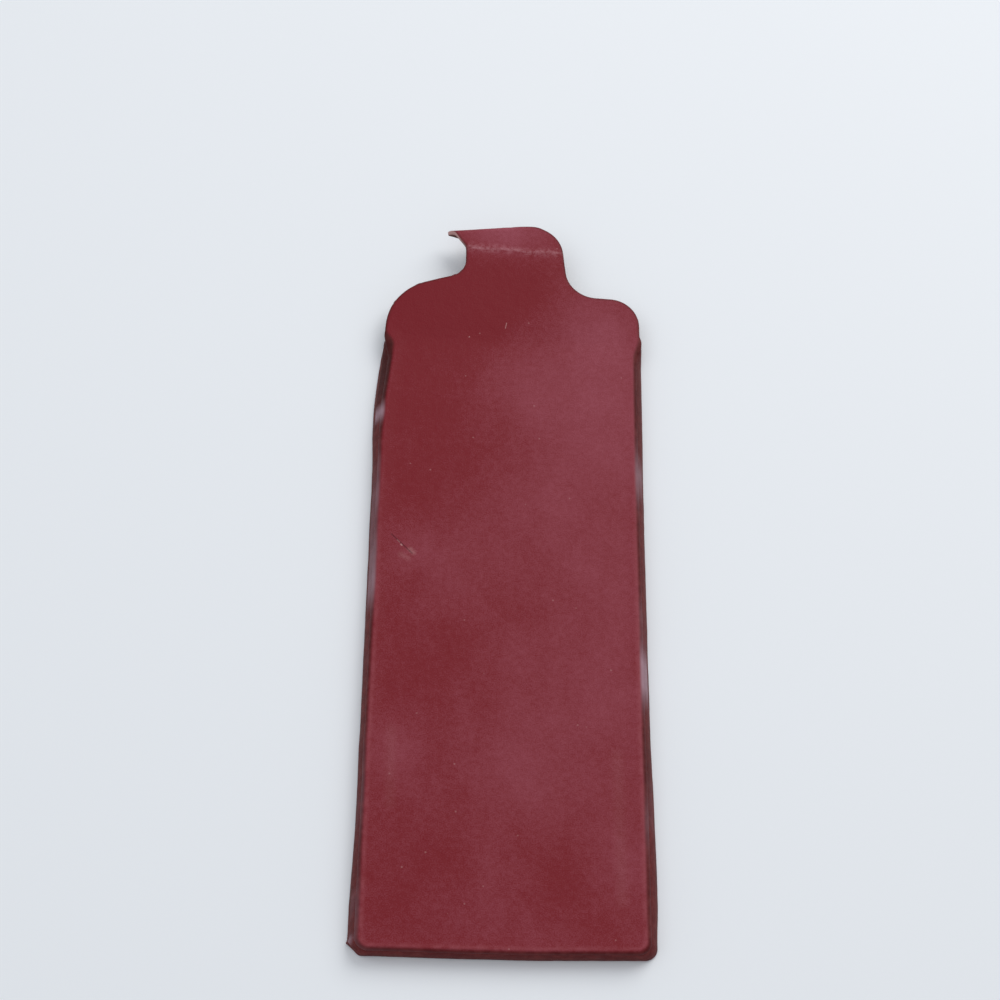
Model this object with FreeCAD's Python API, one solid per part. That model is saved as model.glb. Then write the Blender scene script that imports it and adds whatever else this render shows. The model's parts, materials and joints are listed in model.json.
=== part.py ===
import FreeCAD, Part
import math
import os

# A flat ink knife in its leather slip case, in millimetres.
#
# The case lies on its front panel, with its back up. The origin is the centre of the front panel's
# outer face. X runs across the case, +Y runs towards the mouth and the tab, and +Z is up.
# Three layers make the case: the front panel, a welt round three sides that keeps the pocket open,
# and the back panel. The back leather runs on past the mouth as a single-layer flap with two
# shoulders and a narrow neck, and ends in a tab that has curled under on itself.

# --- Case ---------------------------------------------------------------------------------------
body_width = 70.0            # across the front panel
body_length = 170.0          # from the bottom edge to the mouth
leather = 1.1                # thickness of the panels, the flap and the tab
side_welt_width = 6.2        # from the front panel's edge to the pocket
bottom_welt_width = 6.0
side_flare = 2.7             # how far the front panel's sides stand out past the back panel's
bottom_flare = 1.5           # the same at the bottom edge
front_corner_radius = 3.3
back_corner_radius = 4.0
mouth_pinch = 1.7            # how far the left side draws in at the mouth, where it is handled
pinch_length = 32.0          # from the mouth to where it starts
pinch_radius = 800.0

# --- Flap: each corner is a place and the radius that rounds it ---------------------------------
flap_left_inset = 1.9        # from the front panel's side to the flap's
flap_right_inset = 0.8
left_shoulder_inset = 2.4    # the left side slants in towards its shoulder
left_shoulder_rise = 14.5    # past the mouth, at the shoulder's corner
left_shoulder_radius = 19.0
right_shoulder_rise = 13.3
right_shoulder_radius = 9.0
left_scallop_rise = 21.3     # past the mouth, where the shoulder turns into the neck
left_scallop_radius = 5.5
right_scallop_rise = 13.9
right_scallop_radius = 8.0
neck_left = -12.2
neck_right = 12.8
neck_right_root = 16.0       # the neck's right side spreads towards the mouth
neck_length_left = 29.8      # from the mouth to the crease
neck_length_right = 28.2
fold_gap = 0.08              # between the leather on the two sides of a fold

# --- Tab ----------------------------------------------------------------------------------------
tab_run_left = 3.5           # straight stretch from the crease to the curl, at the neck's sides
tab_run_right = 8.0
curl_radius = 2.25           # to the curl's outer face
curl_sweep = 210.0           # degrees
tab_spread = 4.8             # how far the tab's left side spreads past the neck
tab_spread_rise = 3.6        # past the crease, where it has spread that far
tab_spread_radius = 1.0
tab_right_inset = 1.0        # the tab's right corner stands in from the neck's side
tab_right_radius = 9.6
curl_margin = 0.3            # between the curl and the line that trims the strip beyond it

# --- Knife --------------------------------------------------------------------------------------
blade_side_clearance = 0.8   # each side, between the blade and the welt
blade_tip_clearance = 1.0
seat_clearance = 0.05        # between the knife and the front panel
roof_clearance = 0.15        # between the knife and the back panel
draw_clearance = 0.53        # between the knife and the tab's curl, as the knife is drawn
blade_thickness = 0.7
scale_thickness = 0.75
butt_reach = 22.0            # how far the handle stands out of the mouth
handle_width = 22.0
handle_length = 69.0         # length of the scales
neck_taper_length = 14.0     # of the blade's slanted shoulders
neck_taper_to_scale = 6.0    # bare steel between the shoulders and the scales
shoulder_radius = 16.0
tip_corner_radius = 1.5
butt_radius = 8.0
scale_front_radius = 4.0
scale_edge_chamfer = 0.25
bevel_length = 2.0           # ground along the blade's square end
bevel_edge = 0.25            # steel left at that end
rivet_hole_radius = 2.0
rivet_clearance = 0.02       # radial
rivet_first = 19.0           # from the butt to the first rivet
rivet_pitch = 20.0
hang_hole_radius = 2.5
hang_hole_from_butt = 8.0

# --- Places that follow -------------------------------------------------------------------------
knife_thickness = blade_thickness + 2 * scale_thickness
welt_thickness = seat_clearance + knife_thickness + roof_clearance
case_thickness = 2 * leather + welt_thickness
mouth_y = body_length / 2
bottom_y = -body_length / 2
back_panel_z = leather + welt_thickness
pocket_half = body_width / 2 - side_welt_width
pocket_bottom_y = bottom_y + bottom_welt_width

under_scale_z = leather + seat_clearance
blade_z = under_scale_z + scale_thickness
top_scale_z = blade_z + blade_thickness
knife_top_z = under_scale_z + knife_thickness
blade_half = pocket_half - blade_side_clearance
handle_half = handle_width / 2
tip_y = pocket_bottom_y + blade_tip_clearance
butt_y = mouth_y + butt_reach
scale_front_y = butt_y - handle_length
taper_end_y = scale_front_y - neck_taper_to_scale
taper_start_y = taper_end_y - neck_taper_length
hang_hole_y = butt_y - hang_hole_from_butt

crease_left = (neck_left, mouth_y + neck_length_left)
crease_right = (neck_right, mouth_y + neck_length_right)
curl_left_y = crease_left[1] + tab_run_left
curl_right_y = crease_right[1] + tab_run_right
curl_skew = math.atan2(curl_right_y - curl_left_y, neck_right - neck_left)

# The flap lies tilted up from the mouth, so far that the lowest point of the curl, which is at its
# left, clears the knife: curl_reach * sin(tilt) - curl_radius * cos(tilt) = curl_rise.
curl_reach = curl_left_y - mouth_y
curl_rise = knife_top_z + draw_clearance + curl_radius - case_thickness
flap_tilt = math.atan2(curl_radius, curl_reach) + math.asin(
    curl_rise / math.hypot(curl_reach, curl_radius))

X_AXIS = FreeCAD.Vector(1, 0, 0)
Z_AXIS = FreeCAD.Vector(0, 0, 1)
FLAT = 0.001                 # two heights closer than this are one


def rounded_wire(corners, z):
    """Closed wire at height z through (x, y, radius) corners, each rounded by its radius."""
    points = [FreeCAD.Vector(x, y, z) for x, y, _ in corners]
    count = len(corners)
    bends = []
    for i, (_, _, radius) in enumerate(corners):
        to_last = (points[i - 1] - points[i]).normalize()
        to_next = (points[(i + 1) % count] - points[i]).normalize()
        half_angle = to_last.getAngle(to_next) / 2
        run = radius / math.tan(half_angle)
        inward = (to_last + to_next).normalize()
        middle = points[i] + inward * (radius / math.sin(half_angle) - radius)
        bends.append((points[i] + to_last * run, middle, points[i] + to_next * run))
    edges = []
    for i, (start, middle, end) in enumerate(bends):
        if corners[i][2] > 0:
            edges.append(Part.Arc(start, middle, end).toShape())
        edges.append(Part.LineSegment(end, bends[(i + 1) % count][0]).toShape())
    return Part.Wire(edges)


def plate(corners, z, thickness):
    """Flat plate of a rounded outline, standing on height z."""
    return Part.Face(rounded_wire(corners, z)).extrude(Z_AXIS * thickness)


def box(x_low, x_high, y_low, y_high, z_low, z_high):
    corner = FreeCAD.Vector(x_low, y_low, z_low)
    return Part.makeBox(x_high - x_low, y_high - y_low, z_high - z_low, corner)


def case_outline(z):
    """The case's outline at height z: its walls lean in from the front panel to the back."""
    share = z / case_thickness
    half = body_width / 2 - side_flare * share
    low = bottom_y + bottom_flare * share
    radius = front_corner_radius + (back_corner_radius - front_corner_radius) * share
    corners = [
        (-half + mouth_pinch, mouth_y, 0),
        (-half, mouth_y - pinch_length, pinch_radius),
        (-half, low, radius),
        (half, low, radius),
        (half, mouth_y, 0),
    ]
    return rounded_wire(corners, z)


def case_layer(z_low, z_high):
    return Part.makeLoft([case_outline(z_low), case_outline(z_high)], True, True)


def front_panel():
    return case_layer(0, leather)


def back_panel():
    return case_layer(back_panel_z, case_thickness)


def welt(x_low, x_high, y_low, y_high):
    """The part of the welt's layer inside a stretch of x and y."""
    return case_layer(leather, back_panel_z).common(
        box(x_low, x_high, y_low, y_high, 0, case_thickness))


def lifted(shape):
    """A shape built on the level flap, turned up about the fold at the mouth."""
    shape.rotate(FreeCAD.Vector(0, mouth_y, case_thickness), X_AXIS, math.degrees(flap_tilt))
    return shape


def flap():
    left = -body_width / 2
    right = body_width / 2 - flap_right_inset
    corners = [
        (left + flap_left_inset, mouth_y + fold_gap, 0),
        (left + left_shoulder_inset, mouth_y + left_shoulder_rise, left_shoulder_radius),
        (neck_left, mouth_y + left_scallop_rise, left_scallop_radius),
        (crease_left[0], crease_left[1], 0),
        (crease_right[0], crease_right[1], 0),
        (neck_right_root, mouth_y + right_scallop_rise, right_scallop_radius),
        (right, mouth_y + right_shoulder_rise, right_shoulder_radius),
        (right, mouth_y + fold_gap, 0),
    ]
    return lifted(plate(corners, back_panel_z, leather))


def on_circle(centre, radius, degrees):
    """Point at an angle up from +Y, in the plane across the curl."""
    angle = math.radians(degrees)
    return centre + FreeCAD.Vector(0, math.cos(angle), math.sin(angle)) * radius


def tab_strip():
    """A strip that starts short of the crease and ends curled under, wider than the tab."""
    reach = neck_right - neck_left
    centre = FreeCAD.Vector(0, 0, case_thickness - curl_radius)
    inner_radius = curl_radius - leather
    outer_top = on_circle(centre, curl_radius, 90)
    inner_top = on_circle(centre, inner_radius, 90)
    outer_end = on_circle(centre, curl_radius, 90 - curl_sweep)
    inner_end = on_circle(centre, inner_radius, 90 - curl_sweep)
    outer_middle = on_circle(centre, curl_radius, 90 - curl_sweep / 2)
    inner_middle = on_circle(centre, inner_radius, 90 - curl_sweep / 2)
    outer_start = outer_top - FreeCAD.Vector(0, reach, 0)
    inner_start = inner_top - FreeCAD.Vector(0, reach, 0)
    section = Part.Wire([
        Part.LineSegment(outer_start, outer_top).toShape(),
        Part.Arc(outer_top, outer_middle, outer_end).toShape(),
        Part.LineSegment(outer_end, inner_end).toShape(),
        Part.Arc(inner_end, inner_middle, inner_top).toShape(),
        Part.LineSegment(inner_top, inner_start).toShape(),
        Part.LineSegment(inner_start, outer_start).toShape(),
    ])
    strip = Part.Face(section).extrude(X_AXIS * (3 * reach))
    strip.translate(FreeCAD.Vector(-reach, 0, 0))
    strip.rotate(FreeCAD.Vector(0, 0, 0), Z_AXIS, math.degrees(curl_skew))
    strip.translate(FreeCAD.Vector(neck_left, curl_left_y, 0))
    return strip


def past_curl_y(x):
    """Just past the curl at x, on a line along it."""
    axis_y = curl_left_y + (x - neck_left) * math.tan(curl_skew)
    return axis_y + (curl_radius + curl_margin) / math.cos(curl_skew)


def tab():
    """The strip, trimmed to the tab's outline as seen square to the flap."""
    spread_x = neck_left - tab_spread
    corner_x = neck_right - tab_right_inset
    corners = [
        (crease_left[0], crease_left[1] + fold_gap, 0),
        (spread_x, crease_left[1] + tab_spread_rise, tab_spread_radius),
        (spread_x, past_curl_y(spread_x), 0),
        (corner_x, past_curl_y(corner_x), tab_right_radius),
        (crease_right[0], crease_right[1] + fold_gap, 0),
    ]
    curl_height = 2 * curl_radius
    trim = plate(corners, case_thickness - curl_height, curl_height)
    return lifted(tab_strip().common(trim))


def through_knife(radius, y):
    """A cylinder through the knife's whole thickness."""
    start = FreeCAD.Vector(0, y, under_scale_z)
    return Part.makeCylinder(radius, knife_thickness, start, Z_AXIS)


def rivet_y(number):
    return butt_y - rivet_first - number * rivet_pitch


def drilled(shape):
    """Take the rivet holes and the hang hole out of one of the knife's layers."""
    for number in range(3):
        shape = shape.cut(through_knife(rivet_hole_radius, rivet_y(number)))
    return shape.cut(through_knife(hang_hole_radius, hang_hole_y))


def blade():
    corners = [
        (-blade_half, tip_y, tip_corner_radius),
        (-blade_half, taper_start_y, shoulder_radius),
        (-handle_half, taper_end_y, shoulder_radius),
        (-handle_half, butt_y, butt_radius),
        (handle_half, butt_y, butt_radius),
        (handle_half, taper_end_y, shoulder_radius),
        (blade_half, taper_start_y, shoulder_radius),
        (blade_half, tip_y, tip_corner_radius),
    ]
    steel = plate(corners, blade_z, blade_thickness)
    bevel = Part.makePolygon([
        FreeCAD.Vector(-blade_half, tip_y, blade_z + bevel_edge),
        FreeCAD.Vector(-blade_half, tip_y + bevel_length, top_scale_z),
        FreeCAD.Vector(-blade_half, tip_y, top_scale_z),
        FreeCAD.Vector(-blade_half, tip_y, blade_z + bevel_edge),
    ])
    return drilled(steel.cut(Part.Face(bevel).extrude(X_AXIS * (2 * blade_half))))


def scale(z, outer_z):
    """One handle scale, with the edge of its outer face eased."""
    corners = [
        (-handle_half, scale_front_y, scale_front_radius),
        (-handle_half, butt_y, butt_radius),
        (handle_half, butt_y, butt_radius),
        (handle_half, scale_front_y, scale_front_radius),
    ]
    slab = plate(corners, z, scale_thickness)
    rim = [edge for edge in slab.Edges if edge.BoundBox.ZLength < FLAT
           and abs(edge.BoundBox.ZMin - outer_z) < FLAT]
    return drilled(slab.makeChamfer(scale_edge_chamfer, rim))


def rivet(number):
    return through_knife(rivet_hole_radius - rivet_clearance, rivet_y(number))


pieces = {
    "front_panel": front_panel(),
    "back_panel": back_panel(),
    "welt_left": welt(-body_width, -pocket_half, pocket_bottom_y, mouth_y),
    "welt_right": welt(pocket_half, body_width, pocket_bottom_y, mouth_y),
    "welt_bottom": welt(-body_width, body_width, bottom_y, pocket_bottom_y),
    "flap": flap(),
    "tab": tab(),
    "blade": blade(),
    "scale_top": scale(top_scale_z, knife_top_z),
    "scale_under": scale(under_scale_z, under_scale_z),
    "rivet_butt": rivet(0),
    "rivet_middle": rivet(1),
    "rivet_blade": rivet(2),
}

os.makedirs("parts", exist_ok=True)
for name, shape in pieces.items():
    shape.exportStep("parts/" + name + ".step")
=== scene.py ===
# Looks of a flat ink knife in its leather slip case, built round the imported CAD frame.
#
# The case's shapes are worked out in millimetres on the leather's flat pattern: x across, y along
# from the bottom edge to the tab's free end, and depth in from the grain side. They are folded
# into place last. The knife keeps the CAD's shapes, with better materials.
import json
import math

import bmesh
import bpy
import numpy as np
from mathutils import Matrix, Vector, geometry, noise


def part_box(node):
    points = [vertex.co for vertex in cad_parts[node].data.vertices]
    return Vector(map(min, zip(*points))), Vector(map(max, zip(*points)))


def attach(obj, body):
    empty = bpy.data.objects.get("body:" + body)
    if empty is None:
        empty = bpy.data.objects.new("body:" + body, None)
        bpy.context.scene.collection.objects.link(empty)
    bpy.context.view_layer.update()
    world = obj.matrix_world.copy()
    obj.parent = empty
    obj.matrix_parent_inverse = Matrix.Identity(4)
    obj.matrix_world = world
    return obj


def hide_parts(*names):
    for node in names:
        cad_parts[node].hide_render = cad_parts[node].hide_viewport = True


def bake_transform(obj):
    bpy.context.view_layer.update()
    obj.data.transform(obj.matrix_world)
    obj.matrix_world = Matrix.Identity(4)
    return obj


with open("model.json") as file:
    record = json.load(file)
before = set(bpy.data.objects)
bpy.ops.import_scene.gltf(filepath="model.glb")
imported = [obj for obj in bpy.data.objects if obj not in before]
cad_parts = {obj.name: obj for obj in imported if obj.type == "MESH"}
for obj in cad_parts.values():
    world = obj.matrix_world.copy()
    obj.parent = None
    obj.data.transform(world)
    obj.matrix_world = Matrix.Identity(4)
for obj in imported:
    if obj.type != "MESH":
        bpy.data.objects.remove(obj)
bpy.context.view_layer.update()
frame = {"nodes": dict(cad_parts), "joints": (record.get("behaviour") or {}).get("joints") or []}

MM = 0.001
nodes = frame["nodes"]
joints = {joint["name"]: joint for joint in frame["joints"]}


def box_mm(node):
    low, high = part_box(node)
    return np.array(low) / MM, np.array(high) / MM


# --- Sizes taken from the frame ------------------------------------------------------------------
front_low, front_high = box_mm("front_panel")
back_low, back_high = box_mm("back_panel")
welt_high = box_mm("welt_left")[1]
bottom_welt_high = box_mm("welt_bottom")[1]
mouth_y = front_high[1]
bottom_y = front_low[1]
half_width = front_high[0]
case_top = back_high[2]
leather = back_high[2] - back_low[2]
pocket_half = -welt_high[0]
pocket_bottom_y = bottom_welt_high[1]
mouth_fold = np.array(joints["flap_lift"]["pos_m"]) / MM
crease_fold = np.array(joints["tab_unroll"]["pos_m"]) / MM
crease_axis = np.array(joints["tab_unroll"]["axis"])
flap_rise = crease_fold - mouth_fold
tilt = math.atan2(flap_rise[2], flap_rise[1])
crease_y = mouth_y + math.hypot(flap_rise[1], flap_rise[2])
crease_along = np.array([crease_axis[0], crease_axis[1] / math.cos(tilt)])
crease_along /= np.linalg.norm(crease_along)
crease_across = np.array([-crease_along[1], crease_along[0]])
crease_point = np.array([crease_fold[0], crease_y])

# --- Sizes of the skins, in millimetres -----------------------------------------------------------
SIDE_FLARE = 2.2          # the side walls' lean, from the back's ridge out to the foot
BOTTOM_FLARE = 0.1        # the bottom wall's lean
FOOT_SPREAD = 0.3         # the foot spreads this much past the case's width at its corners
BOTTOM_SPREAD = 0.3       # and this much past its end
BOTTOM_LEFT_UP = 0.25     # the bottom edge bows: its left corner is this much short of its middle
BOTTOM_RIGHT_UP = 0.8     # and its right corner this much
CORNER = 3.0              # radius of the case's bottom corners
CORNER_WEAR = 0.8         # rubbed off the bottom left corner's foot
CORNER_NIB = 0.3          # and a small nib that the wear leaves above it
LEFT_DRAW_IN = 1.5        # the left wall's foot draws in towards the mouth
LEFT_SWELL = 0.5          # it swells a little below that
LEFT_LOW_SWELL = 0.6      # and again near the bottom
RIGHT_SWELL = 0.4         # the right wall's foot swells below the mouth
RIGHT_LOW_SWELL = 0.7     # and near the bottom
WALL_BULGE = 0.05         # the welts stand out this much between the two panels
RIDGE_ROUND = 0.9         # rounding of the case's top ridge
CUT_ROUND = 0.28          # rounding of the flap's cut edge
FRONT_ROUND = 0.4         # rounding of the front's foot
LAYER_ROUND = 0.07        # rounding of a welt at the line between two layers
FLESH_ROUND = 0.14        # rounding of a panel's edge on its flesh side
TAB_TIP = (-17.6, 35.8)   # the tab's left corner: across, and beyond the mouth
FOLD_REACH = 3.0          # half the length over which the flap bends up at the mouth
FOLD_STEP = 0.05          # spacing of the points worked out along that fold
FOLD_END = 60.0           # and how far past the mouth they go
CURL_RADIUS = 2.25
CURL_LEFT = np.array([-12.2, 118.8])     # the line where the curl starts, on the flat pattern
CURL_RIGHT = np.array([12.8, 121.7])
SEAM_Y = 105.5            # the back leather is two pieces, which part here, in the rigid neck
OUTLINE_STEP = 0.75       # spacing of an outline's points
FINE_OUTLINE_STEP = 0.32  # the same round the tab and the bottom corners
MOUTH_STEP = 1.5          # the same along the front's straight mouth
RING_INSET = 1.1          # from a sheet's outline to its first interior ring
TIP_RING_INSET = 0.4      # the same at the tab's sharp corner
TIP_REACH = 2.5           # how far round that corner the ring is closer
GRID = 1.3                # spacing of the points inside a sheet
FINE_GRID = 0.45          # the same past the crease
GRID_MARGIN = 0.75        # the share of that spacing kept free along the ring
SCALE_EASE = 0.12         # rounding of the handle's edges
FRONT_PATTERN = 300.0     # the front's marks come from this far along x, so they aren't the back's

curl_along = (CURL_RIGHT - CURL_LEFT) / np.linalg.norm(CURL_RIGHT - CURL_LEFT)
curl_across = np.array([-curl_along[1], curl_along[0]])


def smooth(value):
    """Eased step from 0 to 1."""
    value = np.clip(value, 0.0, 1.0)
    return value * value * (3 - 2 * value)


def swell(gap, reach):
    """1 where the gap is 0, fading out over the reach."""
    return np.exp(-(gap / reach) ** 2)


# --- Outlines on the flat pattern ----------------------------------------------------------------
def rounded(corners, step):
    """Points round (x, y, radius) corners, at most step(y) apart, without a repeated last point."""
    spots = [np.array(corner[:2], float) for corner in corners]
    count = len(corners)
    bends = []
    for i, (_, _, radius) in enumerate(corners):
        to_last = spots[i - 1] - spots[i]
        to_next = spots[(i + 1) % count] - spots[i]
        to_last /= np.linalg.norm(to_last)
        to_next /= np.linalg.norm(to_next)
        half = math.acos(np.clip(to_last @ to_next, -1, 1)) / 2
        if radius == 0 or half > math.pi / 2 - 1e-4:
            bends.append([spots[i]])
            continue
        run = radius / math.tan(half)
        inward = (to_last + to_next) / np.linalg.norm(to_last + to_next)
        centre = spots[i] + inward * radius / math.sin(half)
        start = spots[i] + to_last * run - centre
        turn = math.pi - 2 * half
        if to_last[0] * to_next[1] - to_last[1] * to_next[0] > 0:
            turn = -turn
        pieces = max(2, int(abs(turn) * radius / step(spots[i][1])) + 1)
        angles = [turn * k / pieces for k in range(pieces + 1)]
        bends.append([centre + np.array([math.cos(a) * start[0] - math.sin(a) * start[1],
                                         math.sin(a) * start[0] + math.cos(a) * start[1]])
                      for a in angles])
    points = []
    for i, bend in enumerate(bends):
        points.extend(bend)
        start, end = bend[-1], bends[(i + 1) % count][0]
        length = np.linalg.norm(end - start)
        pieces = max(1, int(length / step((start[1] + end[1]) / 2)) + 1)
        points.extend(start + (end - start) * k / pieces for k in range(1, pieces))
    return np.array(points)


def outline_step(y):
    fine = y > mouth_y + 26 or y < bottom_y + 6
    return FINE_OUTLINE_STEP if fine else OUTLINE_STEP


def back_outline():
    """The whole back leather, anticlockwise from the bottom left corner."""
    low = bottom_y - BOTTOM_SPREAD + BOTTOM_FLARE
    right = half_width + FOOT_SPREAD - SIDE_FLARE
    left = -right
    return rounded([
        (left - 0.3, low + BOTTOM_LEFT_UP, CORNER),
        (2.0, low, 500),
        (right, low + BOTTOM_RIGHT_UP, CORNER),
        (right - 0.1, mouth_y - 60, 300),
        (right - 0.1, mouth_y - 30, 300),
        (right + 0.2, mouth_y - 2.6, 8),
        (half_width - 0.3, mouth_y + 1.6, 8),
        (half_width - 0.6, mouth_y + 14.4, 8.0),
        (15.9, mouth_y + 14.9, 8.5),
        (13.0, mouth_y + 36.7, 9.4),
        (4.0, mouth_y + 37.1, 6),
        (-13.0, mouth_y + 39.0, 3),
        (TAB_TIP[0], mouth_y + TAB_TIP[1], 0.5),
        (-15.4, mouth_y + 34.2, 6),
        (-12.2, mouth_y + 29.8, 3),
        (-12.2, mouth_y + 21.5, 5.2),
        (-half_width + 2.5, mouth_y + 15.2, 15.0),
        (-half_width + 1.8, mouth_y + 2.2, 3.6),
        (-31.0, mouth_y - 0.9, 3.6),
        (-31.6, mouth_y - 8, 20),
        (-32.7, mouth_y - 19, 60),
        (-33.2, mouth_y - 33, 100),
        (-33.2, mouth_y - 75, 300),
        (-33.5, mouth_y - 107, 300),
    ], outline_step)


def outward(points):
    """Unit normals that point out of an anticlockwise outline."""
    along = np.roll(points, -1, axis=0) - np.roll(points, 1, axis=0)
    along /= np.linalg.norm(along, axis=1)[:, None]
    return np.stack([along[:, 1], -along[:, 0]], axis=1)


def wobble(point, size, seed):
    """Smooth noise from -1 to 1, with features of about the given size."""
    return noise.noise(Vector((point[0] / size, point[1] / size, seed)))


def hand_cut(points, normals):
    """The outline with the small waves of a hand cut edge, and rough nibs on the left shoulder."""
    shift = np.array([0.10 * wobble(p, 9.0, 1.5) + 0.04 * wobble(p, 2.5, 7.1) for p in points])
    shoulder = ((points[:, 0] < -13) & (points[:, 1] > mouth_y + 6)
                & (points[:, 1] < mouth_y + 22))
    nibs = np.array([max(0.0, wobble(p, 1.3, 3.3) - 0.25) for p in points])
    return points + normals * (shift + shoulder * 0.55 * nibs)[:, None]


def wall_lean(points, normals):
    """How far the wall's foot stands from each point of the ridge."""
    x, y = points[:, 0], points[:, 1]
    side = np.sign(x)
    corner_y = bottom_y - BOTTOM_SPREAD + BOTTOM_FLARE + CORNER
    left_foot = (half_width + LEFT_SWELL * swell(y - mouth_y + 24, 11)
                 + LEFT_LOW_SWELL * swell(y - bottom_y - 10, 12)
                 - LEFT_DRAW_IN * np.clip((y - mouth_y + 28) / 28, 0, 1) ** 3.5)
    right_foot = (half_width + RIGHT_SWELL * swell(y - mouth_y + 5, 30)
                  + RIGHT_LOW_SWELL * swell(y - bottom_y - 18, 30))
    foot = np.where(x < 0, left_foot, right_foot)
    up = smooth((y - corner_y) / 10)
    along = np.clip(np.abs(x) / (half_width - SIDE_FLARE - CORNER), 0, 1)
    lean_x = side * along * (SIDE_FLARE + up * (foot - np.abs(x) - SIDE_FLARE))
    lean_y = -BOTTOM_FLARE * (1 - smooth((y - corner_y) / 20))
    wear = CORNER_WEAR * np.abs(2 * normals[:, 0] * normals[:, 1]) * (x < 0) * (y < corner_y)
    nib = CORNER_NIB * swell(y - corner_y - 0.3, 0.4) * (x < 0)
    return np.column_stack([lean_x - nib, lean_y]) - normals * wear[:, None]


def distance_in(points, outline):
    """Distance from each point to the outline."""
    along = np.roll(outline, -1, axis=0) - outline
    length2 = (along ** 2).sum(axis=1)
    at_once = 500             # keeps the arrays below small
    nearest = np.empty(len(points))
    for first in range(0, len(points), at_once):
        part = points[first:first + at_once]
        offset = part[:, None] - outline
        share = np.clip((offset * along).sum(axis=2) / length2, 0, 1)
        gap = offset - share[:, :, None] * along
        nearest[first:first + at_once] = np.sqrt((gap ** 2).sum(axis=2).min(axis=1))
    return nearest


def inside(points, outline):
    """True for the points inside an outline."""
    x, y = points[:, 0], points[:, 1]
    result = np.zeros(len(points), bool)
    for (x1, y1), (x2, y2) in zip(outline, np.roll(outline, -1, axis=0)):
        crosses = (y1 > y) != (y2 > y)
        at = x1 + (y - y1) * (x2 - x1) / (y2 - y1 if y2 != y1 else 1e-9)
        result ^= crosses & (x < at)
    return result


def fill_points(outline):
    """Grid points inside an outline: coarse on the case, fine and along the curl near the tab."""
    low, high = outline.min(axis=0), outline.max(axis=0)
    fine_from = mouth_y + 26.5
    xs = np.arange(low[0], high[0], GRID)
    ys = np.arange(low[1], min(high[1], fine_from), GRID)
    coarse = np.stack(np.meshgrid(xs, ys), axis=-1).reshape(-1, 2)
    sets = [coarse]
    if high[1] > fine_from:
        a, b = np.meshgrid(np.arange(-8, 34, FINE_GRID), np.arange(-12, 9, FINE_GRID))
        fine = CURL_LEFT + a.reshape(-1, 1) * curl_along + b.reshape(-1, 1) * curl_across
        sets.append(fine[fine[:, 1] > fine_from + FINE_GRID / 2])
    kept = []
    for points, gap in zip(sets, (GRID, FINE_GRID)):
        points = points[inside(points, outline)]
        kept.append(points[distance_in(points, outline) > GRID_MARGIN * gap])
    return np.concatenate(kept)


# --- Leather sheets ------------------------------------------------------------------------------
def flat_sheet(outline, normals, lean, height_of, ridge):
    """A closed sheet on the flat pattern: (x, y, depth) vertices and faces, grain side first.
    height_of(depth) is the height in the case's wall. ridge is the rounding of the grain edge."""
    quarter = [math.pi / 2 * k / 4 for k in range(5)]
    tip_gap = np.linalg.norm(outline - (TAB_TIP[0], mouth_y + TAB_TIP[1]), axis=1)
    inner = RING_INSET - (RING_INSET - TIP_RING_INSET) * swell(tip_gap, TIP_REACH)
    rings = [(inner, 0.0)]
    rings += [(ridge * (1 - math.sin(a)), ridge * (1 - math.cos(a))) for a in quarter]
    rings += [(0.0, ridge + (leather - FLESH_ROUND - ridge) * k / 3) for k in (1, 2, 3)]
    rings += [(FLESH_ROUND * (1 - math.cos(a)), leather - FLESH_ROUND * (1 - math.sin(a)))
              for a in quarter[1:]]
    rings += [(inner, leather)]
    count = len(outline)
    loops = []
    for inset, depth in rings:
        inset, depth = np.broadcast_to(inset, count), np.broadcast_to(depth, count)
        share = wall_share(height_of(depth), outline[:, 1])
        plan = outline + lean * share[:, None] - normals * inset[:, None]
        loops.append(np.column_stack([plan, depth]))
    first = loops[0][:, :2]
    filling = fill_points(first)
    spots = [Vector(p) for p in np.concatenate([first, filling])]
    found = geometry.delaunay_2d_cdt(spots, [], [list(range(count))], 1, 1e-5)
    source = [ids[0] for ids in found[3]]
    triangles = [[source[i] for i in face] for face in found[2]]
    grain = np.column_stack([filling, np.zeros(len(filling))])
    flesh = np.column_stack([filling, np.full(len(filling), leather)])
    points = np.concatenate(loops + [grain, flesh])
    grain_start = len(loops) * count
    flesh_start = grain_start + len(filling)
    last_ring = (len(loops) - 1) * count

    def on_grain(i):
        return i if i < count else grain_start + i - count

    def on_flesh(i):
        return last_ring + i if i < count else flesh_start + i - count

    faces = [[on_grain(i) for i in face] for face in triangles]
    faces += [[on_flesh(i) for i in reversed(face)] for face in triangles]
    for ring in range(len(loops) - 1):
        top, low = ring * count, (ring + 1) * count
        for i in range(count):
            j = (i + 1) % count
            faces.append([top + j, top + i, low + i, low + j])
    return points, faces


def fold_table():
    """The back leather's line over the mouth: (distance past it on the pattern, y, z, angle)."""
    table = [(-FOLD_REACH, mouth_y - FOLD_REACH, case_top, 0.0)]
    while table[-1][0] < FOLD_END:
        past, y, z, _ = table[-1]
        angle = tilt * float(smooth((past + FOLD_STEP / 2 + FOLD_REACH) / (2 * FOLD_REACH)))
        table.append((past + FOLD_STEP, y + FOLD_STEP * math.cos(angle),
                      z + FOLD_STEP * math.sin(angle), angle))
    return np.array(table)


FOLD = fold_table()


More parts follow.
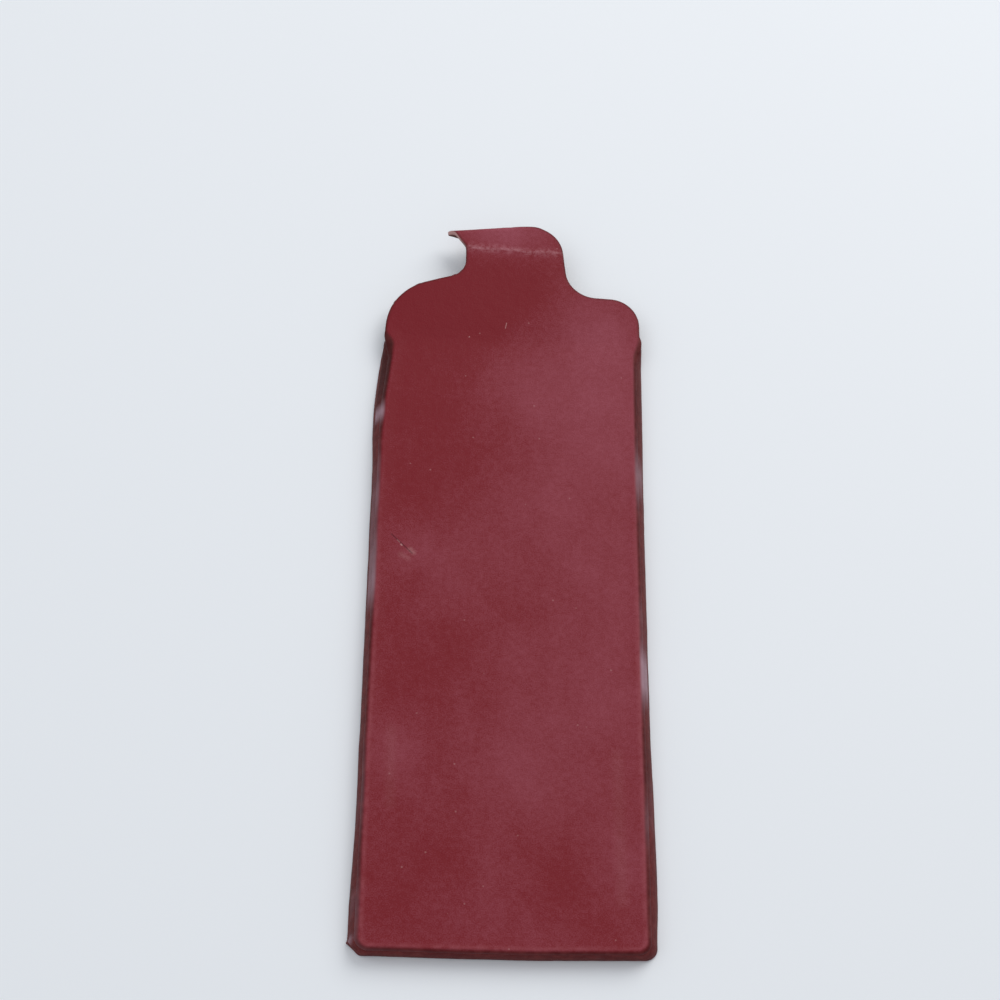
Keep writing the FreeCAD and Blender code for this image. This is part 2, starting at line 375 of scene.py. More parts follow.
def curl(points):
    """Where flat points of the tab go: their place on the flap's plane, height and normal."""
    past = (points - CURL_LEFT) @ curl_across
    middle = CURL_RADIUS - leather / 2
    angle = np.maximum(past, 0) / middle
    level = points - np.maximum(past, 0)[:, None] * curl_across
    reach = CURL_RADIUS * np.sin(angle)
    plan = level + reach[:, None] * curl_across
    height = -CURL_RADIUS * (1 - np.cos(angle))
    normal = np.column_stack([np.sin(angle)[:, None] * curl_across, np.cos(angle)])
    return plan, height, normal


def waves(points, edge_gap):
    """Small heights of the leather: a raised rim, slow waves and drooping shoulders."""
    x, y = points[:, 0], points[:, 1]
    slow = np.array([0.16 * wobble(p, 30, 4.2) + 0.05 * wobble(p, 11, 9.4) for p in points])
    on_flap = smooth((y - mouth_y) / 8)
    rim = -0.16 * smooth((edge_gap - 0.6) / 3.0) * (1 - on_flap)
    droop = -0.35 * (np.abs(x) / half_width) ** 2.5 * on_flap * (1 - smooth((y - mouth_y - 22) / 4))
    crease_gap = (points - crease_point) @ crease_across
    pinch = 0.10 * swell(crease_gap, 0.7)
    bow = -0.05 * np.maximum(crease_gap, 0)
    return slow * smooth(edge_gap / 5) + rim + droop + pinch + bow


def place_back(flat, edge_gap):
    """Fold (x, y, depth) points of the back leather into the CAD's frame, in metres."""
    points, depth = flat[:, :2], flat[:, 2]
    plan, height, normal = curl(points)
    plan = plan - normal[:, :2] * depth[:, None]
    height = height - normal[:, 2] * depth + waves(points, edge_gap)
    past = plan[:, 1] - mouth_y
    y = np.where(past < -FOLD_REACH, plan[:, 1], np.interp(past, FOLD[:, 0], FOLD[:, 1]))
    z = np.where(past < -FOLD_REACH, case_top, np.interp(past, FOLD[:, 0], FOLD[:, 2]))
    angle = np.interp(past, FOLD[:, 0], FOLD[:, 3])
    y = y - height * np.sin(angle)
    z = z + height * np.cos(angle)
    return np.column_stack([plan[:, 0], y, z]) * MM


def place_front(flat, edge_gap):
    """The front leather lies flat with its grain side down, so its depth is its height."""
    return flat * MM


def new_object(name, points, faces):
    mesh = bpy.data.meshes.new(name)
    mesh.from_pydata([tuple(p) for p in points], [], faces)
    mesh.validate()
    obj = bpy.data.objects.new(name, mesh)
    bpy.context.scene.collection.objects.link(obj)
    return obj


def store(mesh, name, kind, values):
    field = {"FLOAT": "value", "FLOAT_VECTOR": "vector"}[kind]
    attribute = mesh.attributes.new(name, kind, "POINT")
    attribute.data.foreach_set(field, np.asarray(values, np.float32).ravel())


def read_flat(obj):
    flat = np.empty(len(obj.data.vertices) * 3, np.float32)
    obj.data.attributes["flat_co"].data.foreach_get("vector", flat)
    return flat.reshape(-1, 3)


def soft_shading(obj, angle):
    """Smooth faces, with edges kept sharp where they turn by more than the angle in degrees."""
    mesh = obj.data
    mesh.shade_smooth()
    mesh.set_sharp_from_angle(angle=math.radians(angle))


def cut(points, faces, keep_low):
    """The points and faces of a flat sheet on one side of the seam, closed where it was cut.
    Depth counts down from the grain side, which mirrors the sheet, so the faces are turned."""
    mesh = bmesh.new()
    made = [mesh.verts.new(p) for p in points]
    for face in faces:
        mesh.faces.new([made[i] for i in face])
    everything = mesh.verts[:] + mesh.edges[:] + mesh.faces[:]
    bmesh.ops.bisect_plane(mesh, geom=everything, plane_co=(0, SEAM_Y, 0), plane_no=(0, 1, 0),
                           clear_outer=keep_low, clear_inner=not keep_low, dist=1e-6)
    open_edges = [edge for edge in mesh.edges if edge.is_boundary]
    cap = bmesh.ops.holes_fill(mesh, edges=open_edges)["faces"]
    bmesh.ops.triangulate(mesh, faces=cap)
    bmesh.ops.recalc_face_normals(mesh, faces=mesh.faces[:])
    mesh.verts.index_update()
    new_points = np.array([vert.co[:] for vert in mesh.verts])
    new_faces = [[vert.index for vert in face.verts][::-1] for face in mesh.faces]
    mesh.free()
    return new_points, new_faces


def leather_piece(name, flat, faces, outline, place, pattern=0.0):
    """A piece of leather from its flat pattern, with the attributes that place its grain and edge.
    pattern is how far along x its marks are shifted on the leather."""
    edge_gap = distance_in(flat[:, :2], outline) * np.where(inside(flat[:, :2], outline), 1, -1)
    placed = place(flat, np.maximum(edge_gap, 0))
    obj = new_object(name, placed, faces)
    store(obj.data, "flat_co", "FLOAT_VECTOR", flat + (pattern, 0, 0))
    store(obj.data, "rim", "FLOAT", edge_gap - flat[:, 2])
    store(obj.data, "flesh", "FLOAT", smooth((flat[:, 2] - leather + 0.12) / 0.1))
    return obj


def wall_share(z, y):
    """The share of the wall's lean at a height: even along the sides, and full near the mouth."""
    at_mouth = smooth((y - mouth_y + 7) / 7)
    return np.clip((case_top - z) / case_top, 0, 1) ** (1 - 0.85 * at_mouth)


def back_pieces(outline, normals, lean):
    """The back leather in its two pieces: as far as the seam in the neck, and past it."""
    ridge = CUT_ROUND + (RIDGE_ROUND - CUT_ROUND) * (1 - smooth((outline[:, 1] - mouth_y + 3) / 5))
    lean = lean * (1 - smooth((outline[:, 1] - mouth_y - 1.6) / 1.8))[:, None]
    points, faces = flat_sheet(outline, normals, lean, lambda depth: case_top - depth, ridge)
    made = []
    for name, keep_low in (("back_leather", True), ("tab_leather", False)):
        part_points, part_faces = cut(points, faces, keep_low)
        made.append(leather_piece(name, part_points, part_faces, outline, place_back))
    return made


def body_part(outline, normals, lean):
    """The stretch of the back's outline round the case, from the left of the mouth to the right."""
    low = outline[:, 1] <= mouth_y
    first = next(i for i in range(len(outline)) if low[i] and not low[i - 1])
    order = [(first + k) % len(outline) for k in range(len(outline))]
    order = [i for i in order if low[i]]
    points = outline[order].copy()
    points[0, 1] = points[-1, 1] = mouth_y
    at_mouth = points[:, 1] > mouth_y - 6
    straight = np.column_stack([np.sign(points[:, 0]), 0 * points[:, 1]])
    normals = np.where(at_mouth[:, None], straight, normals[order])
    return points, normals, lean[order]


def front_piece(body, normals, lean):
    """The front leather: the case's outline at its foot, closed by a straight mouth."""
    width = body[-1, 0] - body[0, 0]
    steps = int(width / MOUTH_STEP)
    mouth = np.array([body[-1] - (width * k / steps, 0) for k in range(1, steps)])
    along = np.tile((0.0, 1.0), (len(mouth), 1))
    lean = np.concatenate([lean, 0 * mouth])
    normals = np.concatenate([normals, along])
    normals[0] += (0, 1)
    normals[len(body) - 1] += (0, 1)
    outline = np.concatenate([body, mouth])
    ridge = np.full(len(outline), FRONT_ROUND)
    points, faces = flat_sheet(outline, normals, lean, lambda depth: depth, ridge)
    faces = [face[::-1] for face in faces]
    return leather_piece("front_leather", points, faces, outline + lean, place_front, FRONT_PATTERN)


def welt_piece(name, body, normals, lean, picked, inner_of):
    """A strip of the welt: a closed section at each picked point of the case's outline."""
    top, low = case_top - leather, leather
    ease = LAYER_ROUND
    eased = [(0, 2.5 * ease), (0.3 * ease, ease), (ease, 0.2 * ease), (2 * ease, 0)]
    profile = [(top - down, inset) for down, inset in eased]
    profile += [(top + (low - top) * k / 4, -WALL_BULGE * math.sin(math.pi * k / 4))
                for k in (1, 2, 3)]
    profile += [(low + up, inset) for up, inset in reversed(eased)]
    sections = []
    for i in picked:
        inner = inner_of(body[i])
        section = []
        for z, inset in profile:
            spot = body[i] + lean[i] * wall_share(z, body[i, 1]) - normals[i] * inset
            section.append((spot[0], spot[1], z))
        section += [(inner[0], inner[1], low), (inner[0], inner[1], top)]
        sections.append(section)
    around = len(sections[0])
    points = [p for section in sections for p in section]
    faces = []
    for s in range(len(sections) - 1):
        a, b = s * around, (s + 1) * around
        faces += [[a + k, a + (k + 1) % around, b + (k + 1) % around, b + k] for k in range(around)]
    last = len(points) - around
    faces += [list(reversed(range(around))), list(range(last, last + around))]
    obj = new_object(name, np.array(points) * MM, faces)
    mesh = bmesh.new()
    mesh.from_mesh(obj.data)
    bmesh.ops.recalc_face_normals(mesh, faces=mesh.faces[:])
    mesh.to_mesh(obj.data)
    mesh.free()
    store(obj.data, "flat_co", "FLOAT_VECTOR", points)
    return obj


def welt_pieces(body, normals, lean):
    """The two side welts and the bottom one, as seen from outside the case."""
    side = body[:, 1] > pocket_bottom_y
    left = [i for i in range(len(body)) if side[i] and body[i, 0] < 0]
    right = [i for i in range(len(body)) if side[i] and body[i, 0] > 0]
    bottom = list(range(left[-1], right[0] + 1))
    strips = (("welt_edge_left", left, lambda spot: (-pocket_half, spot[1])),
              ("welt_edge_right", right, lambda spot: (pocket_half, spot[1])),
              ("welt_edge_bottom", bottom, lambda spot: (spot[0], pocket_bottom_y)))
    return [welt_piece(name, body, normals, lean, picked, inner_of)
            for name, picked, inner_of in strips]


# --- Materials -----------------------------------------------------------------------------------
class Shader:
    """A material's node tree, with a short call for each kind of node that the looks need."""

    MIX_INPUTS, MIX_OUTPUT = (6, 7), 2     # a Mix node's colour sockets, whose names aren't unique

    def __init__(self, name):
        self.material = bpy.data.materials.new(name)
        self.material.use_nodes = True
        self.tree = self.material.node_tree
        self.surface = self.tree.nodes["Principled BSDF"]

    def node(self, kind, **settings):
        node = self.tree.nodes.new(kind)
        for key, value in settings.items():
            setattr(node, key, value)
        return node

    def feed(self, socket, value):
        if isinstance(value, bpy.types.NodeSocket):
            self.tree.links.new(value, socket)
        elif value is not None:
            socket.default_value = value

    def attribute(self, name, output="Fac"):
        return self.node("ShaderNodeAttribute", attribute_name=name).outputs[output]

    def place(self):
        """The object's own coordinates, in millimetres."""
        metres = self.node("ShaderNodeTexCoord").outputs["Object"]
        return self.vector("MULTIPLY", metres, (1000, 1000, 1000))

    def math(self, operation, first, second=None, third=None, clamp=False):
        node = self.node("ShaderNodeMath", operation=operation, use_clamp=clamp)
        for socket, value in zip(node.inputs, (first, second, third)):
            self.feed(socket, value)
        return node.outputs[0]

    def vector(self, operation, first, second=None):
        node = self.node("ShaderNodeVectorMath", operation=operation)
        self.feed(node.inputs[0], first)
        self.feed(node.inputs[1], second)
        return node.outputs["Value" if operation in ("DOT_PRODUCT", "LENGTH", "DISTANCE") else 0]

    def noise(self, where, scale, detail=4.0, roughness=0.5, stretch=None, warp=0.0):
        if stretch:
            where = self.vector("MULTIPLY", where, stretch)
        node = self.node("ShaderNodeTexNoise")
        self.feed(node.inputs["Vector"], where)
        self.feed(node.inputs["Scale"], scale)
        self.feed(node.inputs["Detail"], detail)
        self.feed(node.inputs["Roughness"], roughness)
        self.feed(node.inputs["Distortion"], warp)
        return node.outputs["Fac"]

    def cells(self, where, scale, feature="F1", output="Distance"):
        node = self.node("ShaderNodeTexVoronoi", feature=feature)
        self.feed(node.inputs["Vector"], where)
        self.feed(node.inputs["Scale"], scale)
        return node.outputs[output]

    def span(self, value, low, high, to_low=0.0, to_high=1.0):
        """Map low..high to to_low..to_high, eased and clamped."""
        node = self.node("ShaderNodeMapRange", interpolation_type="SMOOTHSTEP")
        for socket, number in zip(node.inputs, (value, low, high, to_low, to_high)):
            self.feed(socket, number)
        return node.outputs[0]

    def mix(self, factor, first, second, blend="MIX"):
        node = self.node("ShaderNodeMix", data_type="RGBA", blend_type=blend)
        self.feed(node.inputs["Factor"], factor)
        for socket, value in zip(self.MIX_INPUTS, (first, second)):
            self.feed(node.inputs[socket], value)
        return node.outputs[self.MIX_OUTPUT]

    def bump(self, height, strength, distance, normal=None):
        node = self.node("ShaderNodeBump")
        self.feed(node.inputs["Strength"], strength)
        self.feed(node.inputs["Distance"], distance)
        self.feed(node.inputs["Height"], height)
        self.feed(node.inputs["Normal"], normal)
        return node.outputs[0]

    def line(self, where, start, end, width):
        """1 on the line from start to end on the flat pattern, fading out at its width."""
        start, end = Vector((*start, 0)), Vector((*end, 0))
        along = end - start
        offset = self.vector("SUBTRACT", where, tuple(start))
        share = self.vector("DOT_PRODUCT", offset, tuple(along / along.length_squared))
        share = self.math("MULTIPLY", share, 1.0, clamp=True)
        node = self.node("ShaderNodeVectorMath", operation="SCALE")
        self.feed(node.inputs[0], tuple(along))
        self.feed(node.inputs["Scale"], share)
        gap = self.vector("LENGTH", self.vector("SUBTRACT", offset, node.outputs[0]))
        return self.span(gap, width, 0.0)

    def set(self, **values):
        """Feed the surface's sockets, named with _ for a space."""
        for name, value in values.items():
            self.feed(self.surface.inputs[name.replace("_", " ")], value)
        return self.material


def colour(red, green, blue):
    """An sRGB colour of 0 to 255 as the shader's linear value."""
    def linear(value):
        value /= 255
        return value / 12.92 if value <= 0.04045 else ((value + 0.055) / 1.055) ** 2.4
    return linear(red), linear(green), linear(blue), 1.0


WORN_EDGE = colour(156, 122, 132)
DARK_EDGE = colour(56, 4, 2)
CHAFED = colour(176, 118, 126)

# Cloudy paler patches on the grain side, partly the leather's own bloom and partly painted sheen
# (the tab past the crease, the lighter right side): x, y, radius in millimetres, strength.
BLOOM = (
    (22, 78, 20, 0.75), (26, 50, 22, 0.6), (4, 66, 14, 0.35), (8, 36, 14, 0.38), (24, 12, 18, 0.55),
    (-10, 18, 12, 0.4), (5, -14, 13, 0.2), (6, -38, 14, 0.4), (26, -20, 12, 0.45),
    (27, -62, 9, 0.45), (-27, -36, 6, 0.5), (-24, 22, 8, 0.4), (-4, -74, 12, 0.2),
    (24, 92, 10, 0.5), (-2, 120.5, 11, 1.45), (4, -48, 46, 0.32),
)
# Where the leather is darkest, the same way: deeper tone in places, and painted shade on the neck
# where the flap tilts up.
DEEP = (
    (-20, 96, 15, 1.1), (-2, 102, 13, 1.2), (-24, 66, 14, 0.6), (-22, 44, 12, 0.4),
    (-16, -12, 11, 0.25), (14, -66, 12, 0.6), (-18, -66, 14, 0.5), (-22, -20, 9, 0.2),
    (2, 53, 9, 0.35),
)
# The tab's left end was cut later, so its edge isn't burnished.
RAW_EDGE = ((-15.5, 119, 3.6, 1.3),)
# Greyer stretches of the burnished walls: painted reflections of the bright room.
WALL_WORN = (
    (-34, 62, 2.4, 1.2), (-34, 46, 4, 0.15), (-34, 36, 7, 0.42), (-34, 20, 7, 0.42),
    (-34, 10.5, 6, 0.7), (-34, -45, 12, 0.15), (-34, -76, 9, 0.18), (-35.3, -82, 1.0, 1.0),
    (34, 44, 7, 0.55), (34, 3, 5, 0.2), (34, -13, 6.5, 1.3), (34, -52, 6, 0.2),
)
# Where the walls are darkest: painted shade where they reflect the least light.
WALL_DARK = ((-34, 76, 15, 0.8), (34, 68, 14, 0.3), (34, -38, 9, 0.35))
# Pale marks on the grain side: from, to, width in millimetres, strength.
MARKS = (
    ((-26.7, 21.5), (-26.5, 21.3), 0.32, 0.75),       # beside the scratch
    ((-27.6, 22.8), (-27.1, 22.2), 0.25, 0.35),
    ((-24.4, 20.2), (-23.5, 19.2), 1.1, 0.22),
    ((-26.6, 18.6), (-24.9, 17.6), 1.3, 0.10),
    ((-1.2, 89.4), (-0.9, 91.0), 0.2, 0.55),          # nicks near the mouth
    ((-10.8, 86.4), (-10.7, 86.5), 0.26, 0.6),
    ((-27.3, -30.0), (-26.9, -49.0), 2.4, 0.035),     # faint streaks along the sides
    ((26.4, -35.0), (27.0, -72.0), 2.6, 0.035),
)


def patches(points, blobs):
    """The strengths of soft round blobs, added up at each point."""
    total = np.zeros(len(points))
    for x, y, radius, strength in blobs:
        gap2 = (points[:, 0] - x) ** 2 + (points[:, 1] - y) ** 2
        total += strength * np.exp(-gap2 / radius ** 2)
    return total


def paint(piece, **blobs):
    """Store on a piece the blobs' strengths that its material reads, by the attribute's name."""
    flat = read_flat(piece)
    for name, spots in blobs.items():
        store(piece.data, name, "FLOAT", patches(flat, spots))


def grain_height(shader, where):
    """Fine calf grain: soft cells broken up by noise."""
    pebble = shader.cells(where, 1.9)
    fine = shader.noise(where, 3.2, 3.0, 0.6)
    return shader.math("ADD", shader.math("MULTIPLY", pebble, 0.45), fine)


def grain_leather():
    """Burgundy calf: cloudy grain with patches of painted sheen and painted shade, a chafed crease,
    ridges paler from wear and a painted highlight, burnished edges with painted reflections and
    painted shade, and a suede flesh side darkened with painted shade.
    """
    shader = Shader("burgundy_leather")
    where = shader.attribute("flat_co", "Vector")
    rim = shader.attribute("rim")
    flesh = shader.attribute("flesh")
    along = shader.vector("DOT_PRODUCT", where, (0, 1, 0))

    cloud = shader.noise(where, 0.05, 3.0, 0.5)
    patch = shader.noise(where, 0.12, 3.0, 0.5, stretch=(1.0, 0.75, 1.0), warp=0.5)
    small_cloud = shader.noise(where, 0.33, 4.0, 0.6)
    mottle = shader.noise(where, 0.8, 3.0, 0.6)
    speckle = shader.noise(where, 3.2, 3.0, 0.7)
    # Paler patches: partly the leather's own bloom, partly painted sheen where the tab bends away
    # past the crease and on the lighter right side.
    pale = shader.math("MULTIPLY", shader.attribute("bloom"), 0.55)
    pale = shader.math("ADD", pale, shader.span(cloud, 0.25, 0.75, 0.06, 0.16))
    for texture, most in ((patch, 0.07), (small_cloud, 0.05), (mottle, 0.10)):
        pale = shader.math("ADD", pale, shader.span(texture, 0.3, 0.7, -most, most))
    # Darker patches: deeper tone in places, and painted shade on the neck where the flap tilts up
    # from the mouth.
    deep = shader.math("MULTIPLY", shader.attribute("deep"), 0.35)
    pale = shader.math("SUBTRACT", pale, deep)
    pale = shader.math("ADD", pale, shader.span(speckle, 0.3, 0.72, -0.22, 0.24), clamp=True)
    tone = shader.mix(pale, colour(118, 18, 30), colour(148, 72, 85))

    # A paler line inside the ridge: partly worn pigment, partly a painted highlight where the
    # rounded ridge catches the light.
    ridge_line = shader.math("MULTIPLY", shader.span(rim, 0.15, 0.8), shader.span(rim, 2.0, 1.0))
    ridge_line = shader.math("MULTIPLY", ridge_line, shader.span(along, mouth_y + 1, mouth_y - 4))
    ridge_line = shader.math("MULTIPLY", ridge_line, shader.span(along, 70, -20, 0.15, 1.0))
    worn = shader.noise(where, 0.25, 3.0, 0.6)
    ridge_line = shader.math("MULTIPLY", ridge_line, shader.span(worn, 0.3, 0.65, 0.06, 0.32))
    tone = shader.mix(ridge_line, tone, colour(158, 84, 92))

    crease_gap = shader.vector("DOT_PRODUCT", shader.vector("SUBTRACT", where, (*crease_point, 0)),
                               (*crease_across, 0))
    waver = shader.noise(where, 0.12, 4.0, 0.6)
    crease_gap = shader.math("ADD", crease_gap, shader.span(waver, 0.2, 0.8, -0.7, 0.7))
    crease = shader.span(shader.math("ABSOLUTE", crease_gap), 0.62, 0.0)
    scuff = shader.span(shader.noise(where, 1.1, 5.0, 0.75), 0.40, 0.64, 0.08, 0.52)
    tone = shader.mix(shader.math("MULTIPLY", crease, scuff), tone, CHAFED)
    chafe = shader.span(shader.math("ABSOLUTE", crease_gap), 1.9, 0.2)
    chafe = shader.math("MULTIPLY", chafe, shader.span(mottle, 0.38, 0.62, 0.0, 0.3))
    tone = shader.mix(chafe, tone, CHAFED)

    scratch = shader.line(where, (-29.2, 24.4), (-23.9, 19.0), 0.26)
    tone = shader.mix(shader.math("MULTIPLY", scratch, 0.5), tone, colour(74, 26, 30))
    marks = None
    for start, end, width, strength in MARKS:
        mark = shader.math("MULTIPLY", shader.line(where, start, end, width), strength)
        marks = mark if marks is None else shader.math("MAXIMUM", marks, mark)
    marks = shader.math("MULTIPLY", marks, shader.span(speckle, 0.3, 0.6, 0.45, 1.0))
    dust = shader.span(shader.cells(where, 0.17), 0.05, 0.03, 0.0, 0.2)
    tone = shader.mix(shader.math("MAXIMUM", marks, dust), tone, colour(205, 160, 158))

    streak = shader.noise(where, 0.5, 4.0, 0.6)
    edge_tone = shader.mix(shader.span(streak, 0.35, 0.7), colour(82, 14, 16), colour(102, 36, 37))
    # Painted shade: darker where the walls reflect the least light.
    edge_tone = shader.mix(shader.attribute("dark"), edge_tone, DARK_EDGE)
    # Painted reflections: greyer stretches where the walls mirror the bright room.
    edge_tone = shader.mix(shader.attribute("worn"), edge_tone, WORN_EDGE)
    burnish = shader.span(rim, 1.0, -0.25)
    raw = shader.math("MULTIPLY", shader.attribute("raw"), shader.span(rim, 0.25, -0.1))
    edge_tone = shader.mix(raw, edge_tone, colour(190, 146, 142))
    tone = shader.mix(burnish, tone, edge_tone)
    fibre = shader.noise(where, 1.1, 5.0, 0.75, stretch=(1.0, 0.35, 1.0))
    # The flesh side's suede, its colour darkened as painted shade, as it is seen in the curl's
    # shadow.
    suede = shader.mix(fibre, colour(92, 58, 54), colour(138, 100, 92))
    tone = shader.mix(flesh, tone, suede)

    height = grain_height(shader, where)
    grain = shader.bump(height, 0.35, 0.00012)
    soft = shader.bump(small_cloud, 0.25, 0.0006, grain)
    scar = shader.bump(shader.math("MULTIPLY", scratch, -1.0), 0.5, 0.0004, soft)
    rough = shader.span(pale, 0.0, 1.0, 0.50, 0.68)
    rough = shader.math("ADD", rough, shader.span(speckle, 0.2, 0.8, -0.05, 0.05))
    rough = shader.math("MAXIMUM", rough, shader.math("MULTIPLY", flesh, 0.95))
    return shader.set(Base_Color=tone, Roughness=rough, Normal=scar, Specular_IOR_Level=0.18,
                      Sheen_Weight=0.03, Sheen_Roughness=0.45, Sheen_Tint=colour(226, 190, 200))


def burnished_edge():
    """The welts' outer faces: rubbed, waxed leather in thin layers, with painted reflections of the
    room in greyer patches and painted shade where they are darkest.
    """
    shader = Shader("burnished_edge")
    where = shader.attribute("flat_co", "Vector")
    streak = shader.noise(where, 0.5, 4.0, 0.6)
    patch = shader.noise(where, 0.06, 3.0, 0.5)
    layers = shader.noise(where, 2.2, 4.0, 0.7, stretch=(0.35, 0.12, 3.0))
    tone = shader.mix(shader.span(streak, 0.35, 0.7), colour(92, 26, 26), colour(112, 43, 42))
    # Painted shade: darker where the walls reflect the least light.
    tone = shader.mix(shader.attribute("dark"), tone, DARK_EDGE)
    uneven = shader.span(patch, 0.45, 0.75, -0.15, 0.15)
    # Painted reflections: greyer, glossier patches where the walls mirror the bright room.
    haze = shader.math("ADD", shader.attribute("worn"), uneven, clamp=True)
    tone = shader.mix(haze, tone, WORN_EDGE)
    tone = shader.mix(shader.span(layers, 0.45, 0.75, 0.0, 0.5), tone, colour(72, 22, 22))
    normal = shader.bump(layers, 0.3, 0.0003)
    rough = shader.span(haze, 0.0, 0.8, 0.55, 0.4)
    return shader.set(Base_Color=tone, Roughness=rough, Normal=normal, Specular_IOR_Level=0.08)


def blade_steel():
    """Ground sheet steel with dull clouds, a few rust spots and dried ink towards the tip."""
    shader = Shader("blade_steel")
    where = shader.place()
    grind = shader.noise(where, 1.0, 5.0, 0.7, stretch=(0.06, 4.0, 4.0))
    cloud = shader.noise(where, 0.05, 5.0, 0.65, warp=0.6)
    spots = shader.span(shader.noise(where, 0.35, 6.0, 0.75), 0.60, 0.72)
    ink = shader.span(shader.vector("DOT_PRODUCT", where, (0, 1, 0)), -52, -77)
    ink = shader.math("MULTIPLY", ink, shader.span(cloud, 0.35, 0.6))
    tone = shader.mix(grind, (0.36, 0.37, 0.38, 1), (0.62, 0.63, 0.64, 1))
    tone = shader.mix(shader.span(cloud, 0.4, 0.68, 0.0, 0.5), tone, (0.27, 0.26, 0.25, 1))
    tone = shader.mix(shader.math("MULTIPLY", ink, 0.55), tone, (0.07, 0.07, 0.085, 1))
    tone = shader.mix(shader.math("MULTIPLY", spots, 0.5), tone, (0.15, 0.10, 0.07, 1))
    rough = shader.math("ADD", shader.span(grind, 0.2, 0.8, 0.22, 0.38),
                        shader.span(cloud, 0.4, 0.7, 0.0, 0.16))
    return shader.set(Base_Color=tone, Roughness=rough, Metallic=1.0, Anisotropic=0.4,
                      Normal=shader.bump(grind, 0.15, 0.00006))


def handle_wood():
    """Dark hardwood with open pores along the handle, under a thin oil finish."""
    shader = Shader("handle_wood")
    where = shader.place()
    figure = shader.noise(where, 0.22, 6.0, 0.6, stretch=(1.0, 0.09, 1.0), warp=0.8)
    pores = shader.noise(where, 3.0, 4.0, 0.7, stretch=(1.0, 0.06, 1.0))
    tone = shader.mix(shader.span(figure, 0.3, 0.7), colour(62, 30, 18), colour(116, 64, 38))
    tone = shader.mix(shader.span(pores, 0.52, 0.68, 0.0, 0.7), tone, colour(34, 17, 12))
    rough = shader.span(pores, 0.3, 0.7, 0.36, 0.55)
    return shader.set(Base_Color=tone, Roughness=rough, Normal=shader.bump(pores, -0.3, 0.0001),
                      Coat_Weight=0.15, Coat_Roughness=0.3)


def rivet_brass():
    """Filed brass, tarnished in patches."""
    shader = Shader("rivet_brass")
    where = shader.place()
    file_marks = shader.noise(where, 2.0, 4.0, 0.7, stretch=(0.3, 4.0, 1.0))
    tarnish = shader.noise(where, 0.8, 4.0, 0.6)
    tone = shader.mix(shader.span(tarnish, 0.4, 0.7), (0.72, 0.50, 0.20, 1), (0.36, 0.23, 0.09, 1))
    rough = shader.span(file_marks, 0.2, 0.8, 0.24, 0.42)
    return shader.set(Base_Color=tone, Roughness=rough, Metallic=1.0,
                      Normal=shader.bump(file_marks, 0.2, 0.00005))


def pale_floor():
    """A plain matt ground for the stage."""
    shader = Shader("pale_floor")
    return shader.set(Base_Color=colour(238, 241, 245), Roughness=0.9, Specular_IOR_Level=0.2)


# --- The object ----------------------------------------------------------------------------------
outline = back_outline()
normals = outward(outline)
lean = wall_lean(outline, normals)
outline = hand_cut(outline, normals)
back, tab = back_pieces(outline, normals, lean)
body, body_normals, body_lean = body_part(outline, normals, lean)
front = front_piece(body, body_normals, body_lean)
welts = welt_pieces(body, body_normals, body_lean)

leather_material = grain_leather()
for piece in (back, tab, front):
    paint(piece, bloom=BLOOM, deep=DEEP, raw=RAW_EDGE, worn=WALL_WORN, dark=WALL_DARK)
    piece.data.materials.append(leather_material)
    soft_shading(piece, 45)

edge_material = burnished_edge()
for piece in welts:
    paint(piece, worn=WALL_WORN, dark=WALL_DARK)
    piece.data.materials.append(edge_material)
    soft_shading(piece, 60)
    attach(piece, "case")

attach(front, "case")
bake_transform(back)
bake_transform(tab)
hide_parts("back_panel", "flap")
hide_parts("tab")
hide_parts("front_panel")
for piece, node in zip(welts, ("welt_left", "welt_right", "welt_bottom")):
    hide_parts(node)

for name in ("scale_top", "scale_under"):
    bevel = nodes[name].modifiers.new("eased", "BEVEL")
    bevel.width = SCALE_EASE * MM
    bevel.segments = 3
    bevel.limit_method = "ANGLE"
    bevel.angle_limit = math.radians(30)
for names, material in ((("blade",), blade_steel()), (("scale_top", "scale_under"), handle_wood()),
                        (("rivet_butt", "rivet_middle", "rivet_blade"), rivet_brass())):
    for name in names:
        for slot in nodes[name].material_slots:
            slot.link = "OBJECT"
            slot.material = material

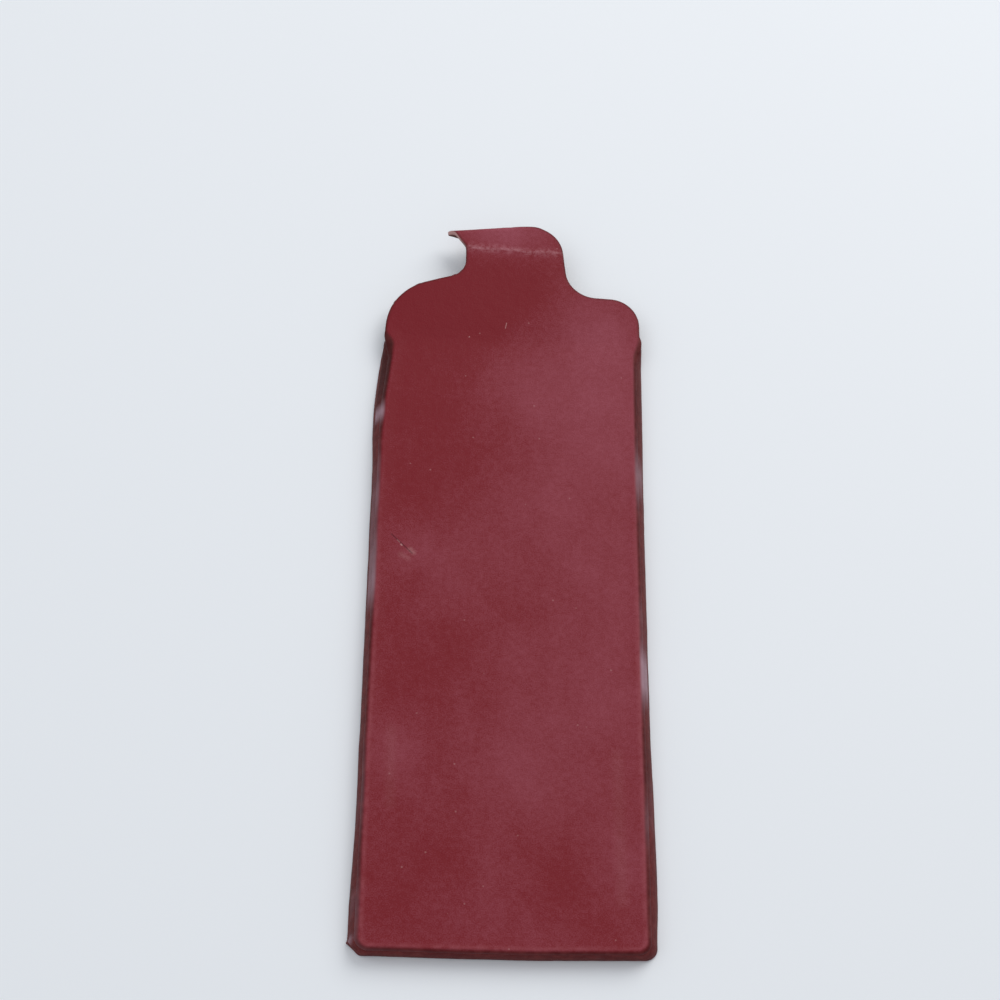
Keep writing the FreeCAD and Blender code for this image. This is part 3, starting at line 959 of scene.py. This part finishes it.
# --- Stage ---------------------------------------------------------------------------------------
FLOOR_SIZE = 6.0          # metres
FLOOR_DROP = 0.0002       # it lies this far under the case, so that the two faces aren't one
bpy.ops.mesh.primitive_plane_add(size=FLOOR_SIZE, location=(0, 0, -FLOOR_DROP))
floor = bpy.context.object
floor.name = "floor"
floor.data.materials.append(pale_floor())


def area_light(name, place, size, power, tint):
    """A rectangular light that points at the middle of the case."""
    data = bpy.data.lights.new(name, "AREA")
    data.shape = "RECTANGLE"
    data.size, data.size_y = size
    data.energy = power
    data.color = tint
    light = bpy.data.objects.new(name, data)
    light.location = place
    light.rotation_euler = (-Vector(place)).to_track_quat("-Z", "Y").to_euler()
    bpy.context.scene.collection.objects.link(light)


area_light("window", place=(0.55, 0.75, 0.9), size=(1.1, 0.9), power=9, tint=(1.0, 0.99, 0.97))
area_light("sky", place=(-0.5, -0.1, 1.1), size=(1.2, 1.2), power=3.4, tint=(0.94, 0.97, 1.0))

world = bpy.data.worlds.new("soft_room")
bpy.context.scene.world = world
world.use_nodes = True
background = world.node_tree.nodes["Background"]
background.inputs["Color"].default_value = (0.93, 0.96, 1.0, 1)
background.inputs["Strength"].default_value = 0.45
bpy.context.scene.view_settings.view_transform = "Standard"

CAMERA_PLACE = (-0.0188, -0.2693, 0.4842)    # metres
CAMERA_ELEVATION = 57.53  # degrees down
CAMERA_AZIMUTH = 3.14     # degrees right of +Y
CAMERA_ROLL = 4.40
camera_data = bpy.data.cameras.new("camera")
camera_data.sensor_width = 36.0
camera_data.lens = 80.7
camera_data.clip_start = 0.01
camera = bpy.data.objects.new("camera", camera_data)
bpy.context.scene.collection.objects.link(camera)
turn = (Matrix.Rotation(math.radians(-CAMERA_AZIMUTH), 4, "Z")
        @ Matrix.Rotation(math.radians(90 - CAMERA_ELEVATION), 4, "X")
        @ Matrix.Rotation(math.radians(CAMERA_ROLL), 4, "Z"))
camera.matrix_world = Matrix.Translation(CAMERA_PLACE) @ turn
bpy.context.scene.camera = camera
